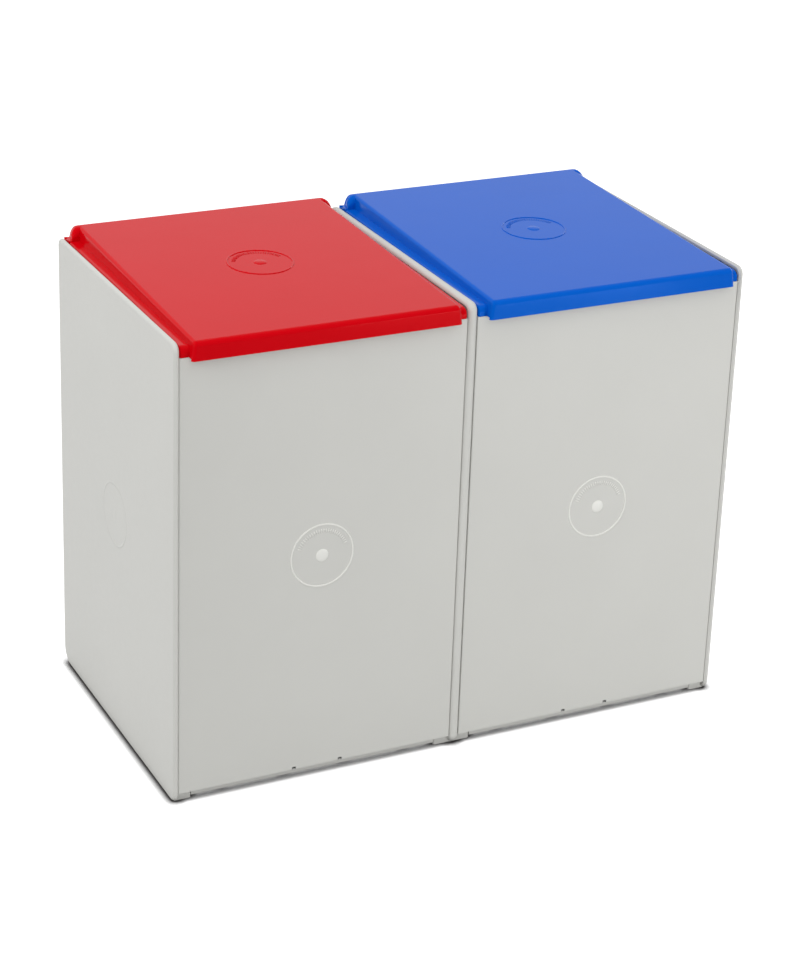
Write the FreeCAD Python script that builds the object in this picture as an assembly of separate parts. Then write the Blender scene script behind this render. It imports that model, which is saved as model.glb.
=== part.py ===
import FreeCAD, Part
import math
import os

Vector = FreeCAD.Vector

# A pair of recycling bins that share one middle wall. Millimetres, +Z up, +X to the
# right, the front towards -Y. The origin is at the bottom centre of the whole object.

# Overall sizes
BAY_WIDTH = 290.0            # clear width between the rims of two neighbouring walls
DEPTH = 320.0                # from the front of the wall rims to their back
WALL_HEIGHT = 470.0

# Walls: a thin web inside a thicker rim
END_RIM_WIDTH = 5.0
MIDDLE_RIM_WIDTH = 10.0
RIM_DEPTH = 4.0              # how far the rim reaches in from the wall's outline
END_WEB = 3.0
MIDDLE_WEB = 4.0
TOP_FRONT_RADIUS = 9.0
TOP_BACK_RADIUS = 8.0
BOTTOM_BACK_RADIUS = 18.0
BOTTOM_FRONT_RADIUS = 10.0
END_OUTER_ROUND = 3.0        # rounding of an end wall's outer face into its rim
END_INNER_CHAMFER = 1.6
MIDDLE_ROUND = 4.4

# Foot rail moulded along the bottom of each wall, hollow below
FOOT_HEIGHT = 12.0
FOOT_REACH = 15.0            # how far it stands into the bay from the rim
FOOT_SETBACK = 6.5           # from the front of the rims
FOOT_SKIN = 2.5
FOOT_ROUND = 2.0
FOOT_RIB_COUNT = 4
FOOT_RIB = 2.0

# Front and back panels, held between the rim and a guide rib on each wall
FIT_GAP = 0.3                # between pieces that are clipped together
PANEL_SKIN = 3.0
PANEL_RECESS = 1.5           # panel face behind the front of the rims
PANEL_BOTTOM = 9.5
PANEL_FLANGE = 2.5
PANEL_FLANGE_DEPTH = 12.5    # from the panel's face to the flange's free edge
PANEL_EDGE_ROUND = 1.0
TONGUE = 3.0                 # thickness of the edge that runs behind the rim
GUIDE_RIB = 2.5

# Floor
FLOOR_SKIN = 2.5
RAIL_CLEARANCE = 2.3         # under the rail that shows between the feet
RAIL_SKIN = 2.5
FLOOR_RIB = 2.0
FLOOR_RIB_DEPTH = 6.0
CROSS_RIB_COUNT = 3
LONG_RIB_COUNT = 4
HOOK_SPACING = 49.0
HOOK_WIDTH = 2.6
HOOK_HEIGHT = 1.6
HOOK_REACH = 1.2             # into its notch in the panel
NOTCH_GAP = 0.2

# Lid: a plateau with a front lip, channels at the sides and a rolled rear edge
LID_SKIN = 2.5
LID_SIDE_GAP = 1.0           # to the rims on both sides
LID_BACK_GAP = 0.5           # in from the back of the rims
LID_SINK = 14.2              # lid's lower edge below the top of the walls
LID_RISE = 12.5              # plateau above the top of the walls, at the rear
LID_FALL = 10.3              # from the rear edge to the front fold
LIP_OVERHANG = 6.5           # lip in front of the rims
LIP_DROP = 2.1               # lip below the rest of the lid's lower edge
LIP_FOLD_ROUND = 5.0
PLATEAU_INSET = 8.5          # plateau's foot, in from the lid's side
PLATEAU_DRAFT = 8.0          # degrees
PLATEAU_ROUND = 3.5
CHANNEL_FRONT_STEP = 6.6     # plateau above the channel at the front
CHANNEL_REAR_STEP = 12.9
CHANNEL_FOLD_ROUND = 7.0
CHANNEL_EDGE_CHAMFER = 1.2
ROLL_DEPTH = 17.5            # rolled rear edge, front to back
ROLL_REAR_ROUND = 8.0
ROLL_FRONT_ROUND = 9.0
ROLL_END_ROUND = 6.0
ROLL_RIB_COUNT = 5
ROLL_RIB = 2.0
OPEN_ANGLE = 110.0           # degrees; the lid's rear face then meets the back panel

# Hinge
PIVOT_IN = 8.0               # pivot in from the back of the rims
PIVOT_DOWN = 9.0             # and down from their top
PIN_RADIUS = 3.0
PIN_PLAY = 0.05              # radial, where the pin turns in the wall
PIN_IN_WALL = 3.2
PIN_IN_LID = 11.0
PIN_END_GAP = 0.3
HUB_RADIUS = 5.5
HUB_LENGTH = 14.0
BOSS_RADIUS = 7.5

THROUGH = 5.0                # how far a cutting shape runs past what it cuts
TOUCH = 1e-4                 # places closer together than this are the same place

# Places that follow from the sizes
BAY_CENTRE = (MIDDLE_RIM_WIDTH + BAY_WIDTH) / 2
WALL_OUTER_X = MIDDLE_RIM_WIDTH / 2 + BAY_WIDTH + END_RIM_WIDTH
FRONT = (LIP_OVERHANG - DEPTH) / 2
BACK = FRONT + DEPTH
PANEL_FACE = FRONT + PANEL_RECESS
PANEL_INSIDE = PANEL_FACE + PANEL_SKIN
FOOT_FRONT = FRONT + FOOT_SETBACK
FOOT_BACK = BACK - BOTTOM_BACK_RADIUS
FLOOR_TOP = FOOT_HEIGHT + FLOOR_SKIN
GUIDE_FRONT = FRONT + RIM_DEPTH + TONGUE + 2 * FIT_GAP
LID_BOTTOM = WALL_HEIGHT - LID_SINK
LID_REAR_HEIGHT = WALL_HEIGHT + LID_RISE
FRONT_PANEL_TOP = LID_BOTTOM - FIT_GAP
PIVOT_Y = BACK - PIVOT_IN
PIVOT_Z = WALL_HEIGHT - PIVOT_DOWN
LID_BACK = BACK - LID_BACK_GAP
LIP_FACE = FRONT - LIP_OVERHANG
LID_HALF = BAY_WIDTH / 2 - LID_SIDE_GAP
TONGUE_REACH = min(END_RIM_WIDTH - END_WEB, (MIDDLE_RIM_WIDTH - MIDDLE_WEB) / 2) - FIT_GAP
LID_SLOPE = math.atan(LID_FALL / (LID_BACK - LIP_FACE))


def along_x(a, b):
    return Vector(0, a, b)


def along_y(a, b):
    return Vector(a, 0, b)


def along_z(a, b):
    return Vector(a, b, 0)


def outline(corners, place):
    """A closed face through (a, b, radius) corners, put in space by place(a, b)."""
    arcs = []
    for index, (a, b, radius) in enumerate(corners):
        corner = Vector(a, b, 0)
        before = Vector(*corners[index - 1][:2], 0) - corner
        after = Vector(*corners[(index + 1) % len(corners)][:2], 0) - corner
        before.normalize()
        after.normalize()
        if radius > 0:
            half_angle = before.getAngle(after) / 2
            reach = radius / math.tan(half_angle)
            bisector = (before + after).normalize()
            sagitta = radius / math.sin(half_angle) - radius
            points = [corner + before * reach, corner + bisector * sagitta, corner + after * reach]
        else:
            points = [corner]
        arcs.append([place(point.x, point.y) for point in points])
    edges = []
    for index, points in enumerate(arcs):
        if len(points) == 3:
            edges.append(Part.Arc(*points).toShape())
        start = points[-1]
        end = arcs[(index + 1) % len(arcs)][0]
        if (end - start).Length > TOUCH:
            edges.append(Part.LineSegment(start, end).toShape())
    return Part.Face(Part.Wire(edges))


def bar_x(corners, low, high):
    """A bar along X with an outline of (y, z, radius) corners."""
    face = outline(corners, along_x)
    face.translate(Vector(low, 0, 0))
    return face.extrude(Vector(high - low, 0, 0))


def bar_y(corners, low, high):
    """A bar along Y with an outline of (x, z, radius) corners."""
    face = outline(corners, along_y)
    face.translate(Vector(0, low, 0))
    return face.extrude(Vector(0, high - low, 0))


def bar_z(corners, low, high):
    """A bar along Z with an outline of (x, y, radius) corners."""
    face = outline(corners, along_z)
    face.translate(Vector(0, 0, low))
    return face.extrude(Vector(0, 0, high - low))


def block(x_range, y_range, z_range):
    low = Vector(x_range[0], y_range[0], z_range[0])
    size = Vector(x_range[1], y_range[1], z_range[1]) - low
    return Part.makeBox(size.x, size.y, size.z, low)


def disc_x(radius, low, high, y, z):
    """A round disc along X between low and high."""
    return Part.makeCylinder(radius, high - low, Vector(low, y, z), Vector(1, 0, 0))


def fused(shapes):
    return shapes[0].fuse(shapes[1:]).removeSplitter() if len(shapes) > 1 else shapes[0]


def spread(count, low, high):
    """Middles of count equal steps between low and high."""
    step = (high - low) / count
    return [low + step * (index + 0.5) for index in range(count)]


def mirrored_x(shape):
    return shape.mirror(Vector(0, 0, 0), Vector(1, 0, 0))


def mirrored_in_depth(shape):
    """The same shape facing the other way between the front and the back rims."""
    return shape.mirror(Vector(0, (FRONT + BACK) / 2, 0), Vector(0, 1, 0))


# ---- walls -------------------------------------------------------------------

def wall_outline():
    return [
        (FRONT, 0, BOTTOM_FRONT_RADIUS),
        (BACK, 0, BOTTOM_BACK_RADIUS),
        (BACK, WALL_HEIGHT, TOP_BACK_RADIUS),
        (FRONT, WALL_HEIGHT, TOP_FRONT_RADIUS),
    ]


def perimeter_edges(solid, x):
    """The edges of a wall blank that run round its face at x."""
    return [edge for edge in solid.Edges
            if abs(edge.BoundBox.XMin - x) < TOUCH and abs(edge.BoundBox.XMax - x) < TOUCH]


def guide_ribs(web_face, rim_face):
    """Upright ribs that hold the panels' tongues behind the rims, front and back."""
    across = (web_face, rim_face)
    deep = (GUIDE_FRONT, GUIDE_FRONT + GUIDE_RIB)
    front = block(across, deep, (FLOOR_TOP + FIT_GAP, FRONT_PANEL_TOP))
    back = block(across, deep, (FLOOR_TOP + FIT_GAP, back_panel_top()))
    return [front, mirrored_in_depth(back)]


def wall_pocket(web_face, rim_face):
    """What is moulded away between the rim and the web on a wall's +X side."""
    low, high = FRONT + RIM_DEPTH, BACK - RIM_DEPTH
    top = WALL_HEIGHT - RIM_DEPTH
    pocket = bar_x([
        (low, FOOT_HEIGHT, 0),
        (high, FOOT_HEIGHT, 0),
        (high, top, TOP_BACK_RADIUS - RIM_DEPTH),
        (low, top, TOP_FRONT_RADIUS - RIM_DEPTH),
    ], web_face, rim_face + THROUGH)
    boss = disc_x(BOSS_RADIUS, web_face, rim_face, PIVOT_Y, PIVOT_Z)
    return pocket.cut([boss] + guide_ribs(web_face, rim_face))


def foot_rail(root, rim_face):
    """Block of the foot rail on a wall's +X side, joined to the wall from x = root."""
    reach = rim_face + FOOT_REACH
    solid = block((root, reach), (FOOT_FRONT, FOOT_BACK), (0, FOOT_HEIGHT))
    uprights = [edge for edge in solid.Edges
                if abs(edge.BoundBox.XMin - reach) < TOUCH and edge.BoundBox.ZLength > FOOT_HEIGHT / 2]
    return solid.makeFillet(FOOT_ROUND, uprights)


def foot_hollow(skin_face, rim_face):
    """The space under a foot rail, between its cross ribs."""
    hollow = block((skin_face, rim_face + FOOT_REACH - FOOT_SKIN),
                   (FOOT_FRONT + FOOT_SKIN, FOOT_BACK - FOOT_SKIN),
                   (-THROUGH, FOOT_HEIGHT - FOOT_SKIN))
    ribs = [block((0, rim_face + FOOT_REACH), (y - FOOT_RIB / 2, y + FOOT_RIB / 2), (-THROUGH, FOOT_HEIGHT))
            for y in spread(FOOT_RIB_COUNT, FOOT_FRONT, FOOT_BACK)]
    return hollow.cut(ribs)


def pivot_hole(rim_face):
    """Blind hole in a wall's boss that the hinge pin turns in."""
    depth = PIN_IN_WALL + PIN_END_GAP
    return disc_x(PIN_RADIUS + PIN_PLAY, rim_face - depth, rim_face + THROUGH, PIVOT_Y, PIVOT_Z)


def end_wall():
    """End wall with its flat outer face on the plane x = 0 and its fittings towards +X."""
    blank = bar_x(wall_outline(), 0, END_RIM_WIDTH)
    blank = blank.makeFillet(END_OUTER_ROUND, perimeter_edges(blank, 0))
    blank = blank.makeChamfer(END_INNER_CHAMFER, perimeter_edges(blank, END_RIM_WIDTH))
    wall = blank.cut(wall_pocket(END_WEB, END_RIM_WIDTH))
    wall = fused([wall, foot_rail(END_OUTER_ROUND, END_RIM_WIDTH)])
    return wall.cut([foot_hollow(END_WEB, END_RIM_WIDTH), pivot_hole(END_RIM_WIDTH)])


def middle_wall():
    """Wall that both bays share, the same on its two sides."""
    rim_face = MIDDLE_RIM_WIDTH / 2
    web_face = MIDDLE_WEB / 2
    blank = bar_x(wall_outline(), -rim_face, rim_face)
    for face in (-rim_face, rim_face):
        blank = blank.makeFillet(MIDDLE_ROUND, perimeter_edges(blank, face))
    pocket = wall_pocket(web_face, rim_face)
    foot = foot_rail(0, rim_face)
    hollow = foot_hollow(web_face, rim_face)
    hole = pivot_hole(rim_face)
    wall = blank.cut([pocket, mirrored_x(pocket)])
    wall = fused([wall, foot, mirrored_x(foot)])
    return wall.cut([hollow, mirrored_x(hollow), hole, mirrored_x(hole)])


# ---- front and back panels ---------------------------------------------------

def back_panel_top():
    """Height at which the back panel stops the lid's rear face at its open limit."""
    opened = math.radians(OPEN_ANGLE)
    reach = LID_BACK - PIVOT_Y + FIT_GAP
    behind = BACK - PANEL_RECESS - PIVOT_Y
    return PIVOT_Z - (reach - behind * math.cos(opened)) / math.sin(opened)


def panel_section(side):
    """Half of a panel's cross-section: skin, flange and tongue, on one side."""
    edge = BAY_WIDTH / 2 - FIT_GAP
    tongue_face = FRONT + RIM_DEPTH + FIT_GAP
    corners = [
        (0, PANEL_FACE, 0),
        (edge, PANEL_FACE, PANEL_EDGE_ROUND),
        (edge, tongue_face, 0),
        (edge + TONGUE_REACH, tongue_face, 0),
        (edge + TONGUE_REACH, tongue_face + TONGUE, 0),
        (edge, tongue_face + TONGUE, 0),
        (edge, PANEL_FACE + PANEL_FLANGE_DEPTH, 0),
        (edge - PANEL_FLANGE, PANEL_FACE + PANEL_FLANGE_DEPTH, 0),
        (edge - PANEL_FLANGE, PANEL_INSIDE, PANEL_EDGE_ROUND),
        (0, PANEL_INSIDE, 0),
    ]
    return [(side * x, y, radius) for x, y, radius in corners]


def panel(top):
    """Panel that closes a bay, made as the front one, with its face towards -Y."""
    edge = BAY_WIDTH / 2 - FIT_GAP
    flange_low = FLOOR_TOP + FIT_GAP
    sides = [bar_z(panel_section(side), flange_low, top) for side in (-1, 1)]
    face = [(-edge, PANEL_FACE, PANEL_EDGE_ROUND), (edge, PANEL_FACE, PANEL_EDGE_ROUND),
            (edge, PANEL_INSIDE, 0), (-edge, PANEL_INSIDE, 0)]
    apron = bar_z(face, PANEL_BOTTOM, flange_low)
    top_flange = block((PANEL_FLANGE - edge, edge - PANEL_FLANGE),
                       (PANEL_FACE, PANEL_FACE + PANEL_FLANGE_DEPTH), (top - PANEL_FLANGE, top))
    whole = fused(sides + [apron, top_flange])
    return whole.cut([hook(x, NOTCH_GAP, PANEL_SKIN + THROUGH) for x in hook_places()])


# ---- floor -------------------------------------------------------------------

def hook_places():
    return [-HOOK_SPACING / 2, HOOK_SPACING / 2]


def hook(x, gap, reach):
    """Small snap hook on the floor's front rail; with a gap, the notch in the panel's lower edge."""
    half_width = HOOK_WIDTH / 2 + gap
    return block((x - half_width, x + half_width), (PANEL_INSIDE - reach, FOOT_FRONT),
                 (PANEL_BOTTOM - gap, PANEL_BOTTOM + HOOK_HEIGHT + gap))


def floor_panel():
    """Floor that rests on the foot rails, with a rail below it at the front and the back."""
    edge = BAY_WIDTH / 2 + TONGUE_REACH
    front = PANEL_INSIDE + FIT_GAP
    middle = (FRONT + BACK) / 2
    back = 2 * middle - front
    between_feet = BAY_WIDTH / 2 - FOOT_REACH - FIT_GAP
    plate = block((-edge, edge), (front, back), (FOOT_HEIGHT, FLOOR_TOP))
    rail = bar_x([
        (FOOT_FRONT, FOOT_HEIGHT, 0),
        (FOOT_FRONT, RAIL_CLEARANCE, PANEL_EDGE_ROUND),
        (FOOT_FRONT + RAIL_SKIN, RAIL_CLEARANCE, 0),
        (FOOT_FRONT + RAIL_SKIN, FOOT_HEIGHT, 0),
    ], -between_feet, between_feet)
    hooks = [hook(x, 0, HOOK_REACH) for x in hook_places()]
    front_fittings = [rail] + hooks
    rib_range = (FOOT_HEIGHT - FLOOR_RIB_DEPTH, FOOT_HEIGHT)
    ribs_across = [block((-between_feet, between_feet), (y - FLOOR_RIB / 2, y + FLOOR_RIB / 2), rib_range)
                   for y in spread(CROSS_RIB_COUNT, front, back)]
    ribs_along = [block((x - FLOOR_RIB / 2, x + FLOOR_RIB / 2),
                        (FOOT_FRONT + RAIL_SKIN, BACK - FOOT_SETBACK - RAIL_SKIN), rib_range)
                  for x in spread(LONG_RIB_COUNT, -between_feet, between_feet)]
    back_fittings = [mirrored_in_depth(shape) for shape in front_fittings]
    return fused([plate] + front_fittings + back_fittings + ribs_across + ribs_along)


# ---- lid ---------------------------------------------------------------------

def lid_top(y):
    """Height of the plateau at depth y."""
    return LID_REAR_HEIGHT - (LID_BACK - y) * math.tan(LID_SLOPE)


def channel_top(y):
    """Height of the side channels' floor at depth y."""
    front_height = lid_top(PANEL_FACE) - CHANNEL_FRONT_STEP
    rear_height = LID_REAR_HEIGHT - CHANNEL_REAR_STEP
    share = (y - PANEL_FACE) / (LID_BACK - PANEL_FACE)
    return front_height + share * (rear_height - front_height)


def plateau(inset, low):
    """Raised part of the lid with its lip, drawn in by inset and reaching down to low."""
    drop = inset / math.cos(LID_SLOPE)
    lip = LIP_FACE + inset
    rear = LID_BACK - inset
    side_view = bar_x([
        (lip, low, 0),
        (lip, lid_top(lip) - drop, LIP_FOLD_ROUND - inset),
        (rear, lid_top(rear) - drop, ROLL_REAR_ROUND - inset),
        (rear, low, 0),
    ], -LID_HALF, LID_HALF)
    lean = math.tan(math.radians(PLATEAU_DRAFT))
    foot_half = LID_HALF - PLATEAU_INSET - inset / math.cos(math.radians(PLATEAU_DRAFT))
    high = LID_REAR_HEIGHT + THROUGH
    low_half = foot_half + (LID_BOTTOM - low) * lean
    high_half = foot_half - (high - LID_BOTTOM) * lean
    front_view = bar_y([(-low_half, low, 0), (low_half, low, 0), (high_half, high, 0), (-high_half, high, 0)],
                       LIP_FACE - THROUGH, BACK + THROUGH)
    body = side_view.common(front_view)
    if inset > 0:
        return body
    side_edges = {}
    for face in body.Faces:
        if abs(face.normalAt(0, 0).x) > 0.9:
            for edge in face.Edges:
                if edge.BoundBox.ZMax > low + TOUCH:
                    side_edges[edge.hashCode()] = edge
    return body.makeFillet(PLATEAU_ROUND, list(side_edges.values()))


def channels(inset, low):
    """Lower, wider part of the lid, whose edges show as the channels beside the plateau."""
    face = PANEL_FACE + inset
    rear = LID_BACK - inset
    half = LID_HALF - inset
    body = bar_x([
        (face, low, 0),
        (face, channel_top(face) - inset, CHANNEL_FOLD_ROUND - inset),
        (rear, channel_top(rear) - inset, 0),
        (rear, low, 0),
    ], -half, half)
    if inset > 0:
        return body
    edges = [edge for edge in body.Edges
             if edge.BoundBox.XLength < TOUCH and edge.BoundBox.ZMax > low + CHANNEL_FOLD_ROUND
             and edge.BoundBox.YMax < rear + TOUCH and edge.BoundBox.YMin < rear - TOUCH]
    return body.makeChamfer(CHANNEL_EDGE_CHAMFER, edges)


def rolled_edge(inset, low):
    """Rolled rear edge, as wide as the lid and rounded down to the channels' ends."""
    drop = inset / math.cos(LID_SLOPE)
    roll_front = LID_BACK - ROLL_DEPTH + inset
    rear = LID_BACK - inset
    side_view = bar_x([
        (roll_front, low, 0),
        (roll_front, lid_top(roll_front) - drop, ROLL_FRONT_ROUND - inset),
        (rear, lid_top(rear) - drop, ROLL_REAR_ROUND - inset),
        (rear, low, 0),
    ], -LID_HALF, LID_HALF)
    half = LID_HALF - inset
    high = lid_top(LID_BACK - ROLL_REAR_ROUND) - drop
    front_view = bar_y([
        (-half, low, 0),
        (half, low, 0),
        (half, high, ROLL_END_ROUND - inset),
        (-half, high, ROLL_END_ROUND - inset),
    ], BACK - ROLL_DEPTH - THROUGH, BACK + THROUGH)
    return side_view.common(front_view)


def lid():
    """Thin moulded lid, open underneath, centred on its bay."""
    lip_bottom = LID_BOTTOM - LIP_DROP
    low = lip_bottom - THROUGH
    behind_lip = block((-LID_HALF, LID_HALF), (LIP_FACE + LID_SKIN, BACK), (low, LID_BOTTOM))
    lipped_plateau = plateau(0, lip_bottom).cut(behind_lip)
    outside = fused([channels(0, LID_BOTTOM), lipped_plateau, rolled_edge(0, LID_BOTTOM)])
    inside = fused([channels(LID_SKIN, low), plateau(LID_SKIN, low), rolled_edge(LID_SKIN, low)])
    hubs = []
    holes = []
    for side in (-1, 1):
        ends = sorted((side * LID_HALF, side * (LID_HALF - HUB_LENGTH)))
        hubs.append(disc_x(HUB_RADIUS, ends[0], ends[1], PIVOT_Y, PIVOT_Z))
        hubs.append(block(ends, (PIVOT_Y - ROLL_RIB / 2, PIVOT_Y + ROLL_RIB / 2), (PIVOT_Z, LID_REAR_HEIGHT)))
        hole_ends = sorted((side * (LID_HALF + THROUGH), side * (LID_HALF - PIN_IN_LID - PIN_END_GAP)))
        holes.append(disc_x(PIN_RADIUS, hole_ends[0], hole_ends[1], PIVOT_Y, PIVOT_Z))
    ribs = [block((x - ROLL_RIB / 2, x + ROLL_RIB / 2), (LID_BACK - ROLL_DEPTH, LID_BACK),
                  (LID_BOTTOM + ROLL_RIB, LID_REAR_HEIGHT))
            for x in spread(ROLL_RIB_COUNT, -LID_HALF, LID_HALF)]
    return outside.cut(inside.cut(hubs + ribs)).cut(holes)


def hinge_pin():
    """Pin that is pressed into the lid's +X end and turns in the wall beside it."""
    return disc_x(PIN_RADIUS, LID_HALF - PIN_IN_LID, BAY_WIDTH / 2 + PIN_IN_WALL, PIVOT_Y, PIVOT_Z)


# ---- assembly ----------------------------------------------------------------

def moved_x(shape, distance):
    copy = shape.copy()
    copy.translate(Vector(distance, 0, 0))
    return copy


def nodes():
    left_wall = moved_x(end_wall(), -WALL_OUTER_X)
    made = {
        "left_side_wall": left_wall,
        "middle_wall": middle_wall(),
        "right_side_wall": mirrored_x(left_wall),
    }
    front_panel = panel(FRONT_PANEL_TOP)
    back_panel = mirrored_in_depth(panel(back_panel_top()))
    pin = hinge_pin()
    pieces = {
        "front_panel": front_panel,
        "back_panel": back_panel,
        "floor": floor_panel(),
        "lid": lid(),
        "lid_right_pin": pin,
        "lid_left_pin": mirrored_x(pin),
    }
    for side, centre in (("left", -BAY_CENTRE), ("right", BAY_CENTRE)):
        for name, shape in pieces.items():
            made[side + "_" + name] = moved_x(shape, centre)
    return made


def export(name, shape):
    """Writes one sub-part as a STEP file and says what it holds."""
    solids = shape.Solids
    if len(solids) != 1 or not shape.isValid():
        print("CHECK", name, "solids", len(solids), "valid", shape.isValid())
    solids[0].exportStep("parts/" + name + ".step")
    box = solids[0].BoundBox
    print(f"{name}: {solids[0].Volume / 1000:.1f} cm3, "
          f"x {box.XMin:.1f} {box.XMax:.1f}, y {box.YMin:.1f} {box.YMax:.1f}, z {box.ZMin:.1f} {box.ZMax:.1f}")


os.makedirs("parts", exist_ok=True)
for node_name, node_shape in nodes().items():
    export(node_name, node_shape)
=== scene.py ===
# %% [markdown]
# # Double recycling bin
# Two bins side by side share one middle wall. Each has a glossy lid that swings on two
# hidden pins. The mouldings come from the engineering model, and this file gives them
# their plastics, their raised round marks, the light and the camera.

import math

import bmesh
import bpy
from mathutils import Matrix, Vector


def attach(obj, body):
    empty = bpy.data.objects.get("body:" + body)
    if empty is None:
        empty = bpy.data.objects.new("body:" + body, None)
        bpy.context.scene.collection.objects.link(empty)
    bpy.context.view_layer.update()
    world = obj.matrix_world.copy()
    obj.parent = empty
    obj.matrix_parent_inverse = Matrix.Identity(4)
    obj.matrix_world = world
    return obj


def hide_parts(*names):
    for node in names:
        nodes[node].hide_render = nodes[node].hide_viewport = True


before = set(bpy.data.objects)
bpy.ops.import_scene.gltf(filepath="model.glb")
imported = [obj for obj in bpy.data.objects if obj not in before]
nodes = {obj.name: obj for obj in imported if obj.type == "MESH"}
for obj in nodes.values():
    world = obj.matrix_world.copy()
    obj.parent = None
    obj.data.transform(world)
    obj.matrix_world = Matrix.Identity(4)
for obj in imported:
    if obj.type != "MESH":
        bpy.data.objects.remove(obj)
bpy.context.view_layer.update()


def new_object(name, data):
    """An object that holds this data, at the origin."""
    made = bpy.data.objects.new(name, data)
    bpy.context.scene.collection.objects.link(made)
    return made


# %% [markdown]
# ## The camera
# The photograph looks down from the front left with a long lens. A camera could be turned
# by hand until the edges agree. Here its yaw, pitch, roll and focal length were fitted to
# the object's corners, so they are written as numbers. They give three directions: right,
# up and ahead. The lens shift puts the object where it stands in the photograph's frame.

# %% Camera
PHOTO_WIDTH, PHOTO_HEIGHT = 799, 969
FOCAL_PIXELS = 2543.4
PRINCIPAL = (400.0, 370.0)          # the pixel that the lens looks straight at
YAW, PITCH, ROLL = (math.radians(angle) for angle in (26.6, 21.5, 2.06))
TARGET = Vector((0.0, -0.00675, 0.240))
TARGET_PIXEL = (396.7, 468.8)
TARGET_DISTANCE = 2.5914

ahead = Vector((math.sin(YAW) * math.cos(PITCH),
                math.cos(YAW) * math.cos(PITCH),
                -math.sin(PITCH)))
level_right = Vector((math.cos(YAW), -math.sin(YAW), 0))
level_up = level_right.cross(ahead)
right = math.cos(ROLL) * level_right + math.sin(ROLL) * level_up
up = -math.sin(ROLL) * level_right + math.cos(ROLL) * level_up
to_target = (ahead * FOCAL_PIXELS
             + right * (TARGET_PIXEL[0] - PRINCIPAL[0])
             - up * (TARGET_PIXEL[1] - PRINCIPAL[1])).normalized()
stand = Matrix.Translation(TARGET - to_target * TARGET_DISTANCE)
turn = Matrix((right, up, -ahead)).transposed().to_4x4()

camera_data = bpy.data.cameras.new("photo_camera")
camera_data.lens = FOCAL_PIXELS * camera_data.sensor_width / PHOTO_HEIGHT
camera_data.shift_x = (PHOTO_WIDTH / 2 - PRINCIPAL[0]) / PHOTO_HEIGHT
camera_data.shift_y = (PRINCIPAL[1] - PHOTO_HEIGHT / 2) / PHOTO_HEIGHT
camera = new_object("photo_camera", camera_data)
camera.matrix_world = stand @ turn
bpy.context.scene.camera = camera
print("lens mm:", round(camera_data.lens, 1),
      "at", [round(c, 3) for c in camera.matrix_world.translation])

# %% [markdown]
# ## Shader maths as expressions
# A material is a graph of nodes. Written link by link it is hard to read, so one small
# class wraps a socket and lets plain arithmetic add the Math nodes.


# %% A socket that takes part in arithmetic
class Value:
    """A node's output, with the arithmetic that the materials below use."""

    def __init__(self, tree, socket):
        self.tree = tree
        self.socket = socket

    def node(self, kind, settings=(), output=0, **inputs):
        """Adds a node, sets it up and returns one of its outputs.

        An input is named as the socket is, or i and its number.
        """
        made = self.tree.nodes.new(kind)
        for name, value in dict(settings).items():
            setattr(made, name, value)
        for name, value in inputs.items():
            key = int(name[1:]) if name[1:].isdigit() else name.replace("_", " ")
            if isinstance(value, Value):
                self.tree.links.new(value.socket, made.inputs[key])
            else:
                made.inputs[key].default_value = value
        return Value(self.tree, made.outputs[output])

    def math(self, operation, *others):
        """A Math node that works on this value and the others."""
        sockets = {"i%d" % index: value for index, value in enumerate((self, *others))}
        return self.node("ShaderNodeMath", {"operation": operation}, **sockets)

    def __add__(self, other):
        return self.math("ADD", other)

    def __sub__(self, other):
        return self.math("SUBTRACT", other)

    def __rsub__(self, other):
        return self.math("MULTIPLY_ADD", -1.0, other)

    def __mul__(self, other):
        return self.math("MULTIPLY", other)

    def __truediv__(self, other):
        return self.math("DIVIDE", other)

    __radd__ = __add__
    __rmul__ = __mul__

    def clamped(self):
        """The value kept between 0 and 1."""
        return self.node("ShaderNodeClamp", i0=self)

    def size(self):
        """The value without its sign."""
        return self.math("ABSOLUTE")

    def part(self, axis):
        """One coordinate of a vector: 0, 1 or 2 for X, Y or Z."""
        return self.node("ShaderNodeSeparateXYZ", output=axis, i0=self)

    def near(self, middle, reach):
        """1 at the middle value, falling smoothly to 0 at reach on both sides."""
        closeness = (1.0 - (self - middle).size() / reach).clamped()
        smooth = {"interpolation_type": "SMOOTHSTEP"}
        return self.node("ShaderNodeMapRange", smooth, Value=closeness)

    def noise(self, scale, detail=2.0):
        """Soft random values around 0.5; scale counts the lumps in a metre."""
        return self.node("ShaderNodeTexNoise", Vector=self, Scale=scale, Detail=detail)

    def blend(self, low, high):
        """A colour between two, by this value."""
        return self.node("ShaderNodeMix", {"data_type": "RGBA"}, output=2,
                         i0=self, i6=low, i7=high)


def new_material(name):
    """An empty material: its Principled shader and the surface's Object coordinates."""
    made = bpy.data.materials.new(name)
    made.use_nodes = True
    tree = made.node_tree
    tree.nodes.clear()
    output = tree.nodes.new("ShaderNodeOutputMaterial")
    shader = tree.nodes.new("ShaderNodeBsdfPrincipled")
    tree.links.new(shader.outputs[0], output.inputs["Surface"])
    place = Value(tree, tree.nodes.new("ShaderNodeTexCoord").outputs["Object"])
    return made, shader, place


def feed(shader, socket, value):
    """Links a value to one of a shader's sockets."""
    value.tree.links.new(value.socket, shader.inputs[socket])


def feed_relief(shader, relief, strength):
    """Bends the surface's normal by a height in metres."""
    feed(shader, "Normal", relief.node("ShaderNodeBump", Strength=strength,
                                       Distance=1.0, Height=relief))


def grey(level, warmth=1.0):
    """An opaque grey; a warmth below 1 takes some of its blue away."""
    return (level, level, level * warmth, 1)


print("shader maths ready")

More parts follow.
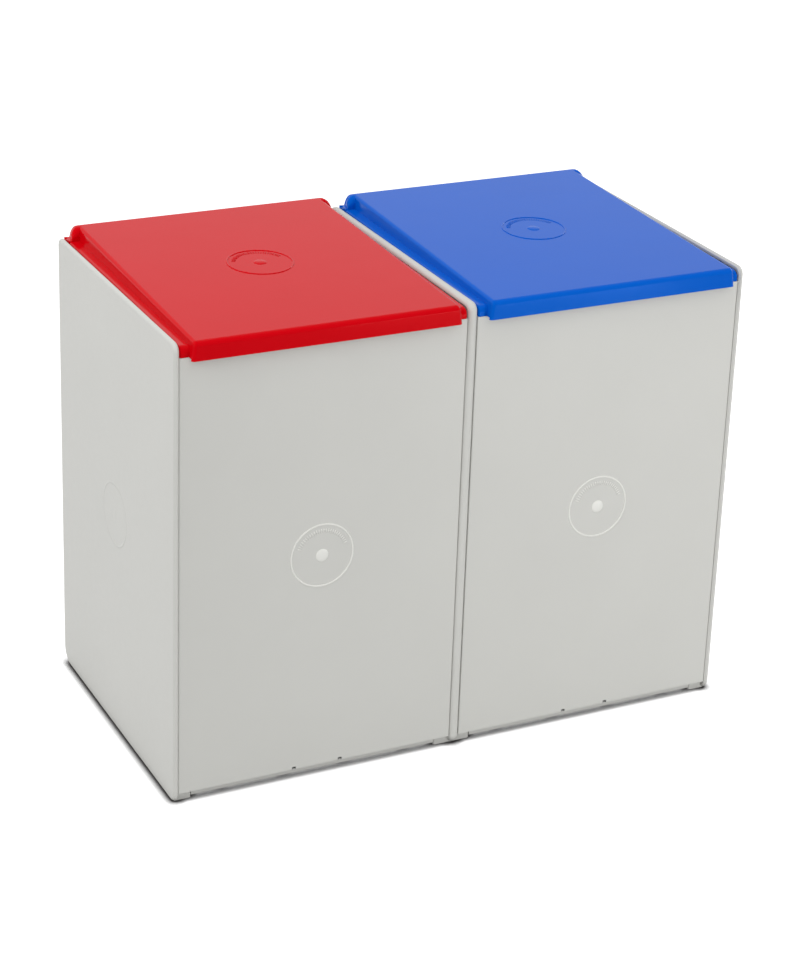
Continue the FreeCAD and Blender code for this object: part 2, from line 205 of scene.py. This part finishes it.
# %% [markdown]
# ## Moulded shell plastic
# Walls, panels and floors are one light warm grey plastic, moulded in a tool with a fine
# spark-eroded texture. Under soft light it is nearly even: a trace of mottling, a
# roughness that wanders a little and a grain finer than a millimetre. Noise gives all
# three, so no picture is needed and the grain keeps its scale on every piece.
#
# The end walls carry the same round mark as the panels, so shallow that it only bends the
# light: a ring and a low dome in the bump. The panels' lower edges have two small
# windows for the floors' snap hooks. They are notches in the mouldings, a few millimetres
# wide. Near-black painted shade round them stands for the black depth of the real ones.

# %% Where the round marks and the hook windows are, in metres
MARK_RADIUS, MARK_BEAD, MARK_RISE, DOME_RADIUS = 0.032, 0.0018, 0.0007, 0.0065
MARK_HEIGHT = 0.236
DEPTH_MIDDLE = 0.00325              # Y halfway between the front and back of the walls
HOOK_X, HOOK_APART = 0.150, 0.0245  # middle of a bay, and half the hooks' spacing
# HOOK_HALF, HOOK_TOP and HOOK_DEPTH bound the painted shade: its half width, its top and the
# depth where it starts.
HOOK_HALF, HOOK_TOP, HOOK_DEPTH = 0.0020, 0.0122, 0.1554


def mark_relief(depth, height):
    """Height of the ring and the dome, from the distances to the mark's middle."""
    distance = (depth * depth + height * height).math("SQRT")
    ring = distance.near(MARK_RADIUS, MARK_BEAD)
    dome = distance.near(0.0, DOME_RADIUS)
    return MARK_RISE * ring + MARK_RISE * dome


def painted_window_shade(place, depth):
    """1 where shade is painted round the notches in the panels' lower edges, else 0."""
    beside = ((place.part(0).size() - HOOK_X).size() - HOOK_APART).size()
    return (beside.math("LESS_THAN", HOOK_HALF)
            * depth.size().math("GREATER_THAN", HOOK_DEPTH)
            * place.part(2).math("LESS_THAN", HOOK_TOP))


print("mark radius", MARK_RADIUS, "hooks at", HOOK_X - HOOK_APART, HOOK_X + HOOK_APART)

# %% Shell plastic and its variants
SHELL_WARMTH = 0.95
SHELL_GRAIN_HEIGHT, SHELL_WAVE_HEIGHT = 0.000045, 0.00025
# Near black: the painted shade in the hook windows.
WINDOW_SHADE_BLACK = grey(0.012)


def shell_plastic(name, mark=False, windows=False, low=0.545, high=0.575):
    """Textured grey plastic, mottled between two levels."""
    made, shader, place = new_material(name)
    colour = place.noise(9.0, 3.0).blend(grey(low, SHELL_WARMTH), grey(high, SHELL_WARMTH))
    relief = (place.noise(2600.0, 1.0) * SHELL_GRAIN_HEIGHT
              + place.noise(22.0, 1.0) * SHELL_WAVE_HEIGHT)
    depth = place.part(1) - DEPTH_MIDDLE
    if mark:
        relief = relief + mark_relief(depth, place.part(2) - MARK_HEIGHT)
    if windows:
        # Painted shade: near black round the hook windows, for the dark depth inside them.
        colour = painted_window_shade(place, depth).blend(colour, WINDOW_SHADE_BLACK)
    feed(shader, "Base Color", colour)
    feed(shader, "Roughness", 0.38 + 0.14 * place.noise(140.0, 3.0))
    shader.inputs["Specular IOR Level"].default_value = 0.4
    feed_relief(shader, relief, 0.6)
    return made


shell = shell_plastic("shell_grey_textured")
end_shell = shell_plastic("shell_grey_end_wall", mark=True)
# Panels and floors: with painted shade round the hook windows.
panel_shell_window_shade = shell_plastic("shell_grey_panel_window_shade", windows=True)
# The front marks: the panels' plastic painted lighter, as a painted highlight on the raised ring,
# ticks and dome.
mark_shell_painted_highlight = shell_plastic("shell_grey_mark_painted_highlight", low=0.70, high=0.74)
print("made", shell.name, end_shell.name, panel_shell_window_shade.name, mark_shell_painted_highlight.name)

# %% [markdown]
# ## Glossy lid plastic
# The lids are polished, so they mirror the white surroundings. A real polished moulding
# is never flat: a faint orange peel and a slow waviness bend its reflections. Its low
# index keeps the mirrored white thin where the lid is seen straight on, and tints it.

# %% Lid plastics
PEEL_HEIGHT, LID_WAVE_HEIGHT = 0.00002, 0.00015


def lid_plastic(name, low, high, gleam):
    """Polished plastic; gleam colours what it mirrors where it is seen straight on."""
    made, shader, place = new_material(name)
    feed(shader, "Base Color", place.noise(14.0, 2.0).blend(low, high))
    feed(shader, "Roughness", 0.10 + 0.06 * place.noise(90.0, 3.0))
    shader.inputs["IOR"].default_value = 1.23
    shader.inputs["Specular Tint"].default_value = gleam
    relief = place.noise(420.0, 2.0) * PEEL_HEIGHT + place.noise(30.0, 1.0) * LID_WAVE_HEIGHT
    feed_relief(shader, relief, 0.5)
    return made


lid_materials = {
    "left_lid": lid_plastic("lid_red_gloss", low=(0.56, 0.0006, 0.004, 1),
                            high=(0.59, 0.001, 0.006, 1), gleam=(1.0, 0.10, 0.10, 1)),
    "right_lid": lid_plastic("lid_blue_gloss", low=(0.0006, 0.095, 0.52, 1),
                             high=(0.001, 0.102, 0.55, 1), gleam=(0.08, 0.30, 1.0, 1)),
}
print("made", [material.name for material in lid_materials.values()])

# %% [markdown]
# ## Hinge pins
# Four dark grey pins are pressed into the lids' rolled edges. They are turned rod, so a
# fine grain runs round them in rings. Noise squeezed along the pin's length and stretched
# the other two ways gives that, and one noise serves colour, roughness and relief.


# %% Pin plastic
def pin_plastic():
    """Dark turned plastic, with its grain in rings round the X axis."""
    made, shader, place = new_material("pin_grey_turned")
    stretched = place.node("ShaderNodeMapping", Vector=place, Scale=(1.0, 0.05, 0.05))
    rings = stretched.noise(3000.0, 1.0)
    feed(shader, "Base Color", rings.blend((0.10, 0.105, 0.11, 1), (0.14, 0.145, 0.15, 1)))
    feed(shader, "Roughness", 0.35 + 0.2 * rings)
    feed_relief(shader, rings * 0.00002, 0.5)
    return made


pin_material = pin_plastic()
print("made", pin_material.name)

# %% [markdown]
# ## Dress the mouldings
# The shapes of the walls, panels, floors and pins are right as they come, so they only
# get their plastics. A piece's name says which one.


# %% Give every moulding its plastic
def plastic_for(name):
    """The material that a moulding wears."""
    if name in lid_materials:
        return lid_materials[name]
    if name.endswith("_pin"):
        return pin_material
    if name.endswith("side_wall"):
        return end_shell
    # Panels and floors share the plastic with the painted shade round the hook windows, so the
    # floors' hook tips are painted dark too.
    if name.endswith(("panel", "floor")):
        return panel_shell_window_shade
    return shell


for name, node in nodes.items():
    for slot in node.material_slots:
        slot.material = plastic_for(name)
    print(name, "wears", plastic_for(name).name)

# %% [markdown]
# ## The ends of the rolled edge
# On the real lids the rolled rear edge fades into the channels at both ends. A bevel
# can't follow that, because the edge, the channel and the plateau meet there. So a copy
# of each lid is cut into narrow strips near its rear corners, and the strips' points are
# drawn down and round the corner. The copy then takes the moulding's place.

# %% Where the lids' ends are rounded, in metres
LID_CENTRE, LID_HALF, LID_REAR, LID_REAR_HEIGHT = 0.150, 0.144, 0.16275, 0.4825
END_INNER, END_OUTER = 0.1342, 0.1412       # from the lid's middle: full height, faded
END_FRONT = 0.1445                          # the rolled edge is behind this Y
CHANNEL_HEIGHT, CORNER_RADIUS = 0.4700, 0.014
END_LEFT_OVER = 0.04                        # share of the height that stays at the end
SIDE_CUTS = (0.131, END_INNER, 0.1362, 0.1382, 0.1397, 0.1407, END_OUTER)
REAR_CUTS = (CORNER_RADIUS, 0.009, 0.005, 0.002)
CUT_MARGIN, MERGE_DISTANCE = 0.002, 1e-6
SHARP_ANGLE = math.radians(35)


def cut(shaped, place, normal):
    """Cuts the faces near the rolled edge along a plane, and keeps both sides."""
    around = {}
    for face in shaped.faces:
        if any(vert.co.y > END_FRONT - CUT_MARGIN for vert in face.verts):
            around.update(dict.fromkeys((face, *face.verts, *face.edges)))
    bmesh.ops.bisect_plane(shaped, geom=list(around), plane_co=place, plane_no=normal,
                           dist=MERGE_DISTANCE)


def drawn_in(point, centre):
    """Where a point of the rolled edge goes, on a lid whose middle is at this X."""
    x, y, z = point
    out = abs(x - centre)
    share = min(1, max(0, (out - END_INNER) / (END_OUTER - END_INNER)))
    keep = END_LEFT_OVER + (1 - END_LEFT_OVER) * math.sqrt(1 - share * share)
    z = CHANNEL_HEIGHT + (z - CHANNEL_HEIGHT) * keep
    across, along = out - LID_HALF + CORNER_RADIUS, y - LID_REAR + CORNER_RADIUS
    if across > 0 and along > 0:
        pull = 1 - max(across, along) / math.hypot(across, along)
        x -= math.copysign(across * pull, x - centre)
        y -= along * pull
    return Vector((x, y, z))


print("rounding", (LID_HALF - END_INNER) * 1000, "mm of each end")


# %% Round the lids' ends
def finished_mesh(piece):
    """The mesh that a piece's modifiers make; they are then taken off the piece."""
    graph = bpy.context.evaluated_depsgraph_get()
    mesh = bpy.data.meshes.new_from_object(piece.evaluated_get(graph), depsgraph=graph)
    piece.modifiers.clear()
    return mesh


def rounded_ends(name, centre):
    """Stands a copy of a lid in its place, with the ends of its rolled edge rounded."""
    mesh = nodes[name].data.copy()
    shaped = bmesh.new()
    shaped.from_mesh(mesh)
    bmesh.ops.remove_doubles(shaped, verts=shaped.verts, dist=MERGE_DISTANCE)
    for side in (-1, 1):
        for place in SIDE_CUTS:
            cut(shaped, (centre + side * place, 0, 0), (1, 0, 0))
    for place in (END_FRONT, *(LID_REAR - deep for deep in REAR_CUTS)):
        cut(shaped, (0, place, 0), (0, 1, 0))
    for vert in shaped.verts:
        if vert.co.y > END_FRONT and vert.co.z > CHANNEL_HEIGHT:
            vert.co = drawn_in(vert.co, centre)
    bmesh.ops.triangulate(shaped, faces=shaped.faces)
    shaped.to_mesh(mesh)
    shaped.free()
    if "custom_normal" in mesh.attributes:
        mesh.attributes.remove(mesh.attributes["custom_normal"])
    mesh.shade_smooth()
    mesh.set_sharp_from_angle(angle=SHARP_ANGLE)
    piece = new_object(name + "_rounded", mesh)
    piece.modifiers.new("even", "WEIGHTED_NORMAL").keep_sharp = True
    piece.data = finished_mesh(piece)
    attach(piece, name + "_body")
    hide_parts(name)
    print(piece.name, len(piece.data.polygons), "faces")


rounded_ends("left_lid", -LID_CENTRE)
rounded_ends("right_lid", LID_CENTRE)

# %% [markdown]
# ## Raised round marks
# Every large face has the same round mark: a thin raised ring, short raised ticks along
# its upper arc and a low dome in its middle. One Geometry Nodes tree makes it flat, facing
# up, and each mark is that mesh laid on its face. A tree suits it because the ring and the
# row of ticks follow one circle, so its sizes are six named inputs with the material.

# %% The mark's tree
TICK_ARC = (math.radians(22), math.radians(136))    # start and sweep
TICK_CIRCLE = 0.8                                   # share of the mark's radius
TICK_SHAPE = (1.4, 2.2, 0.7)                        # of the rise, the bead and the rise
BEAD_HEIGHT, DOME_HEIGHT = 2.0, 1.4                 # of the rise


def mark_tree(sizes):
    """A tree that makes the mark, with these inputs and a material."""
    tree = bpy.data.node_groups.new("round_mark", "GeometryNodeTree")
    for name, value in sizes.items():
        kind = "NodeSocketInt" if isinstance(value, int) else "NodeSocketFloat"
        socket = tree.interface.new_socket(name, in_out="INPUT", socket_type=kind)
        socket.default_value = value
    tree.interface.new_socket("Material", in_out="INPUT", socket_type="NodeSocketMaterial")
    tree.interface.new_socket("Geometry", in_out="OUTPUT", socket_type="NodeSocketGeometry")
    given = tree.nodes.new("NodeGroupInput")
    result = tree.nodes.new("NodeGroupOutput")
    size = {name: Value(tree, given.outputs[name]) for name in sizes}
    start = size["Radius"]

    def flattened(shape, height):
        flatness = start.node("ShaderNodeCombineXYZ", X=1.0, Y=1.0, Z=height)
        return start.node("GeometryNodeTransform", Geometry=shape, Scale=flatness)

    circle = start.node("GeometryNodeCurvePrimitiveCircle", Resolution=160,
                        Radius=size["Radius"])
    bead = start.node("GeometryNodeCurvePrimitiveCircle", Resolution=12,
                      Radius=size["Bead"] * 0.5)
    ring = start.node("GeometryNodeCurveToMesh", Curve=circle, Profile_Curve=bead)
    ring = flattened(ring, size["Rise"] / size["Bead"] * BEAD_HEIGHT)

    arc = start.node("GeometryNodeCurveArc", Resolution=size["Ticks"],
                     Radius=size["Radius"] * TICK_CIRCLE,
                     Start_Angle=TICK_ARC[0], Sweep_Angle=TICK_ARC[1])
    tick_size = start.node("ShaderNodeCombineXYZ", X=size["Rise"] * TICK_SHAPE[0],
                           Y=size["Bead"] * TICK_SHAPE[1], Z=size["Rise"] * TICK_SHAPE[2])
    tick = start.node("GeometryNodeMeshCube", Size=tick_size)
    place = start.node("GeometryNodeInputPosition")
    facing = start.node("FunctionNodeAlignRotationToVector", {"axis": "Y"}, Vector=place)
    ticks = start.node("GeometryNodeInstanceOnPoints", Points=arc, Instance=tick,
                       Rotation=facing)

    dome = start.node("GeometryNodeMeshUVSphere", Segments=48, Rings=24,
                      Radius=size["Dome"])
    dome = flattened(dome, size["Rise"] / size["Dome"] * DOME_HEIGHT)

    join = tree.nodes.new("GeometryNodeJoinGeometry")
    for piece in (dome, ticks, ring):
        tree.links.new(piece.socket, join.inputs[0])
    whole = start.node("GeometryNodeRealizeInstances", Geometry=Value(tree, join.outputs[0]))
    dressed = start.node("GeometryNodeSetMaterial", Geometry=whole,
                         Material=Value(tree, given.outputs["Material"]))
    tree.links.new(dressed.socket, result.inputs[0])
    return tree


mark_group = mark_tree({"Radius": MARK_RADIUS, "Bead": MARK_BEAD, "Rise": MARK_RISE,
                        "Dome": DOME_RADIUS, "Ticks": 26})
print("mark tree:", len(mark_group.nodes), "nodes")


# %% Lay the marks on the panels and the lids
def mark(name, material, body, slot, place, tilt):
    """One mark at a place in metres, tilted from flat about X by an angle."""
    holder = new_object(name, bpy.data.meshes.new(name))
    modifier = holder.modifiers.new("mark", "NODES")
    modifier.node_group = mark_group
    for item in mark_group.interface.items_tree:
        if item.name == "Material":
            modifier[item.identifier] = material
    mesh = finished_mesh(holder)
    mesh.transform(Matrix.Translation(place) @ Matrix.Rotation(tilt, 4, "X"))
    shaped = bmesh.new()
    shaped.from_mesh(mesh)
    bmesh.ops.recalc_face_normals(shaped, faces=shaped.faces)
    shaped.to_mesh(mesh)
    shaped.free()
    mesh.shade_smooth()
    holder.data = mesh
    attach(holder, body)
    print(name, len(mesh.polygons), "faces")


PANEL_FACE = -0.15525
LID_SLOPE = 10.3 / 326.0            # the plateau's fall over the lid's depth
lid_mark_height = LID_REAR_HEIGHT - (LID_REAR - DEPTH_MIDDLE) * LID_SLOPE
for side, x, colour in (("left", -LID_CENTRE, "lid_red"), ("right", LID_CENTRE, "lid_blue")):
    mark(side + "_front_mark", mark_shell_painted_highlight, "bin_body", "shell_grey",
         (x, PANEL_FACE, MARK_HEIGHT), math.radians(90))
    mark(side + "_lid_mark", lid_materials[side + "_lid"], side + "_lid_body", colour,
         (x, DEPTH_MIDDLE, lid_mark_height), math.atan(LID_SLOPE))

# %% [markdown]
# ## The floor and the light
# The bin stands on a pale floor in soft studio light. Stronger lamps would make the floor
# white, but they would bleach the bin too. So where the camera or a reflection looks at
# the open floor, it glows enough to be white. An Ambient Occlusion node tells the floor
# where it is close under the feet, and there the glow and the colour fade into a painted
# contact shadow, a dark line under the bin.

# %% Floor
FLOOR_REACH = 12.0
FLOOR_GLOW = 0.75
# The dark contact line is a painted contact shadow; these set how far it spreads and how dark it
# is painted.
PAINTED_SHADOW_REACH = 0.010               # metres that the contact line spreads
PAINTED_SHADOW_AO, PAINTED_SHADOW_SPAN = 0.55, 0.4

corners = [(x * FLOOR_REACH, y * FLOOR_REACH, 0) for x, y in ((-1, -1), (1, -1), (1, 1), (-1, 1))]
floor_mesh = bpy.data.meshes.new("studio_floor")
floor_mesh.from_pydata(corners, [], [(0, 1, 2, 3)])
floor = new_object("studio_floor", floor_mesh)
floor_material, floor_shader, floor_place = new_material("studio_floor")


def seen_directly(start):
    """1 for rays of the camera, of reflections and through glass, else 0."""
    paths = start.tree.nodes.new("ShaderNodeLightPath")
    seen = [Value(start.tree, paths.outputs[name])
            for name in ("Is Camera Ray", "Is Glossy Ray", "Is Transmission Ray")]
    return (seen[0] + seen[1] + seen[2]).clamped()


outside_painted_shadow = floor_place.node("ShaderNodeAmbientOcclusion", {"samples": 8}, output=1,
                            Distance=PAINTED_SHADOW_REACH)
outside_painted_shadow = ((outside_painted_shadow - PAINTED_SHADOW_AO) / PAINTED_SHADOW_SPAN).clamped()
pale = floor_place.noise(3.0).blend(grey(0.50), grey(0.54))
# Painted shadow: the floor's colour turns near black where the Ambient Occlusion node finds it
# close under the bin.
feed(floor_shader, "Base Color", outside_painted_shadow.blend((0.06, 0.055, 0.055, 1), pale))
feed(floor_shader, "Roughness", 0.7 + 0.1 * floor_place.noise(60.0))
# The glow fades there too, so the painted shadow stays dark to the camera.
feed(floor_shader, "Emission Color", FLOOR_GLOW * outside_painted_shadow * seen_directly(floor_place))
floor_shader.inputs["Emission Strength"].default_value = 1.0
floor_shader.inputs["Specular IOR Level"].default_value = 0.0
floor_mesh.materials.append(floor_material)
print("floor made")

# %% [markdown]
# The sky is brighter to the left, to the front and above, which shades the walls' rounded
# edges from left to right. Reflections and the camera see it plain white.

# %% World
SKY_LEVEL, SKY_DARKEST = 0.36, 0.05
SKY_TO_LEFT, SKY_TO_FRONT, SKY_TO_TOP = 0.34, 0.20, 1.0

world = bpy.data.worlds.new("studio")
world.use_nodes = True
bpy.context.scene.world = world
sky_tree = world.node_tree
direction = Value(sky_tree, sky_tree.nodes.new("ShaderNodeTexCoord").outputs["Generated"])
soft_light = (SKY_LEVEL - SKY_TO_LEFT * direction.part(0) - SKY_TO_FRONT * direction.part(1)
              + SKY_TO_TOP * direction.part(2)).math("MAXIMUM", SKY_DARKEST)
direct = seen_directly(direction)
strength = soft_light * (1.0 - direct) + direct
sky = sky_tree.nodes["Background"]
sky.inputs["Color"].default_value = (1, 1, 1, 1)
sky_tree.links.new(strength.socket, sky.inputs["Strength"])
print("world made")

# %% [markdown]
# Three lamps add direction to the soft sky. A large one on the left lights the end wall,
# a low one in front lifts the panels, and a tall strip on the right draws a soft line
# along the edges there.


# %% Lamps
def lamp(name, place, aim, size, power):
    """An area lamp of this width and height in metres, turned to a point."""
    data = bpy.data.lights.new(name, "AREA")
    data.shape = "RECTANGLE"
    data.size, data.size_y = size
    data.energy = power
    made = new_object(name, data)
    made.location = place
    made.rotation_euler = (Vector(aim) - Vector(place)).to_track_quat("-Z", "Y").to_euler()


lamp("left_softbox", (-1.5, -0.3, 1.3), aim=(-0.2, 0, 0.25), size=(0.8, 0.8), power=5)
lamp("low_front_softbox", (0.7, -1.4, 0.05), aim=(0.1, -0.15, 0.15), size=(0.5, 0.5), power=8.5)
lamp("right_strip", (1.7, 0.8, 0.8), aim=(0, 0, 0.4), size=(0.15, 1.2), power=3)
print("lamps made")

# %% Colour
bpy.context.scene.view_settings.view_transform = "Standard"
